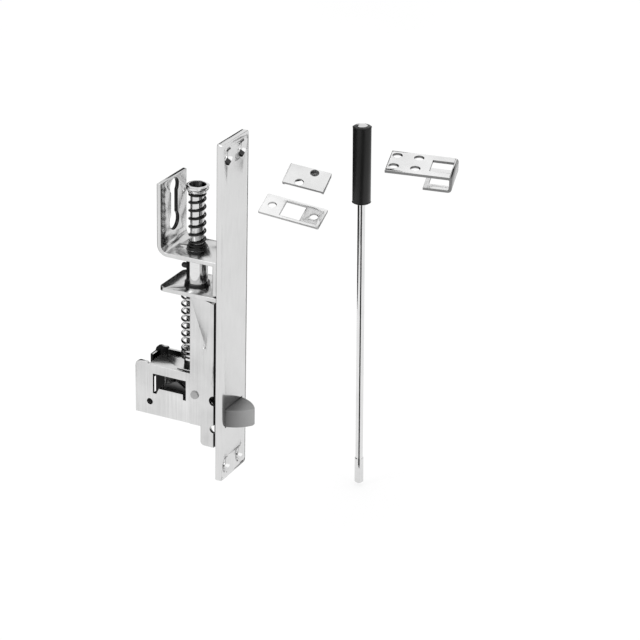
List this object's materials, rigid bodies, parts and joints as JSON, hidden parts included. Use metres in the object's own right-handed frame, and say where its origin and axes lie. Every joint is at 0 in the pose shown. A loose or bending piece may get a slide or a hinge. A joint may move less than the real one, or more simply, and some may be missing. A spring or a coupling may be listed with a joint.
{
  "type": "automatic flush bolt",
  "caption": "Automatic flush bolt: spring and crank mechanism on a long face plate with a wedge trigger, with its bolt rod, guide, strike and rub plate laid out beside it.",
  "frame": {"origin": "centre of the face plate's front face, which is also the centre of its four screw holes", "axes": "+X out of the face plate's front, +Z along the bolt's throw, +Y across the face plate"},
  "size_m": [0.1176, 0.1428, 0.233],
  "materials": {
    "polished_stainless": "bright polish with a fine lengthwise grain",
    "bright_sheet": "bright plated sheet, satin",
    "turned_steel": "turned and polished",
    "rivet_steel": "dull steel",
    "dark_sheet": "plain steel",
    "trigger_metal": "grey sintered metal, matt",
    "spring_bright": "bright spring wire",
    "spring_black": "black oiled spring wire",
    "black_oxide": "black oxide",
    "black_coating": "black nylon coating, satin",
    "rod_chrome": "plated rod"
  },
  "bodies": {
    "frame": {"faceplate": "polished_stainless", "frame_channel": "bright_sheet", "lower_shelf": "bright_sheet", "upper_bracket": "bright_sheet", "shelf_rivets": "rivet_steel", "lower_bushing": "black_oxide", "side_plate_left": "bright_sheet", "side_plate_right": "bright_sheet", "rear_spacer": "rivet_steel", "pivot_pin": "rivet_steel", "return_spring": "spring_bright", "guide": "bright_sheet", "strike": "bright_sheet", "rub_plate": "bright_sheet"},
    "trigger": {"trigger_nose": "trigger_metal", "trigger_stem": "trigger_metal", "trigger_pin": "turned_steel"},
    "crank": {"crank_lever": "dark_sheet"},
    "lift": {"lifter": "bright_sheet", "lifter_pin": "turned_steel", "spring_collar": "black_oxide", "seat_washer": "turned_steel", "lift_sleeve": "turned_steel", "cross_pin": "black_oxide", "thrust_washers": "black_oxide", "override_spring": "spring_black"},
    "plunger": {"plunger": "turned_steel"},
    "bolt_rod": {"rod": "rod_chrome", "rod_ferrule": "turned_steel", "bolt_head": "black_coating", "head_rivet": "turned_steel"}
  },
  "joints": [
    {"name": "trigger_slide", "type": "slide", "parent": "frame", "child": "trigger", "axis": [-1, 0, 0], "range_m": [0, 0.0105], "stiffness_N_per_m": 400, "springref_m": -0.012},
    {"name": "crank_turn", "type": "hinge", "parent": "frame", "child": "crank", "pos_m": [-0.0154, 0, -0.0435], "axis": [0, 1, 0], "range_deg": [0, 54.94]},
    {"name": "bolt_lift", "type": "slide", "parent": "frame", "child": "lift", "axis": [0, 0, 1], "range_m": [0, 0.019], "deforming": ["return_spring"]},
    {"name": "override_slide", "type": "slide", "parent": "lift", "child": "plunger", "axis": [0, 0, -1], "range_m": [0, 0.012], "stiffness_N_per_m": 900, "springref_m": -0.008, "deforming": ["override_spring"]},
    {"name": "rod_turn", "type": "hinge", "parent": "plunger", "child": "bolt_rod", "pos_m": [0.0062, 0.125, 0.0559], "axis": [-0.0189, -0.009, 0.9998], "continuous": true}
  ],
  "couplings": [
    {"joint": "crank_turn", "follows": "trigger_slide", "rad_per_m": 91.307},
    {"joint": "bolt_lift", "follows": "trigger_slide", "ratio": 1.8095}
  ]
}
